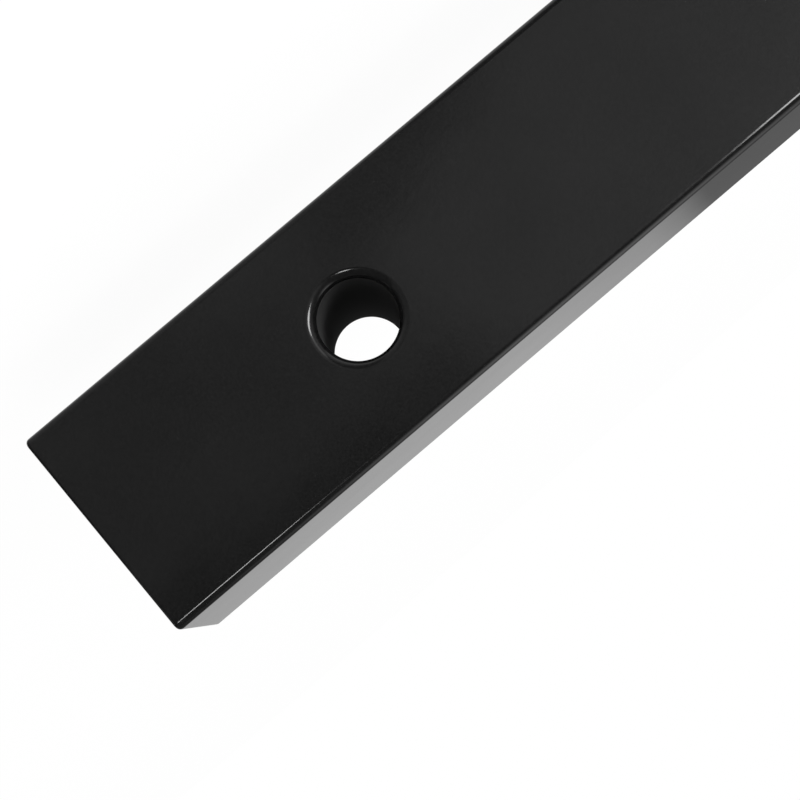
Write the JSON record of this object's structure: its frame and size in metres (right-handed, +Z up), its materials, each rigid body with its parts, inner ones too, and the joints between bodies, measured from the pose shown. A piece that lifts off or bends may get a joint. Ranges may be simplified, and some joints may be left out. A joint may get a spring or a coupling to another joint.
{
  "type": "receiver hook mount plate",
  "caption": "Solid square hitch bar with a cross pin hole, welded to an upright drilled plate that a towing hook bolts to.",
  "frame": {"origin": "centre of the hitch pin hole, on the bar's axis", "axes": "as mounted on a vehicle: +X along the bar to its free end, +Y along the pin hole, +Z up"},
  "size_m": [0.2445, 0.1238, 0.1716],
  "materials": {
    "coat": "gloss black powder coat on steel, with slight orange peel",
    "weld_coat": "gloss black powder coat over rippled weld beads"
  },
  "bodies": {
    "root": {"shank": "coat", "mount_plate": "coat", "gusset": "coat", "shank_weld_top": "weld_coat", "shank_weld_left": "weld_coat", "shank_weld_bottom": "weld_coat", "shank_weld_right": "weld_coat", "gusset_plate_weld_left": "weld_coat", "gusset_plate_weld_right": "weld_coat", "gusset_shank_weld_left": "weld_coat", "gusset_shank_weld_right": "weld_coat"}
  },
  "joints": []
}
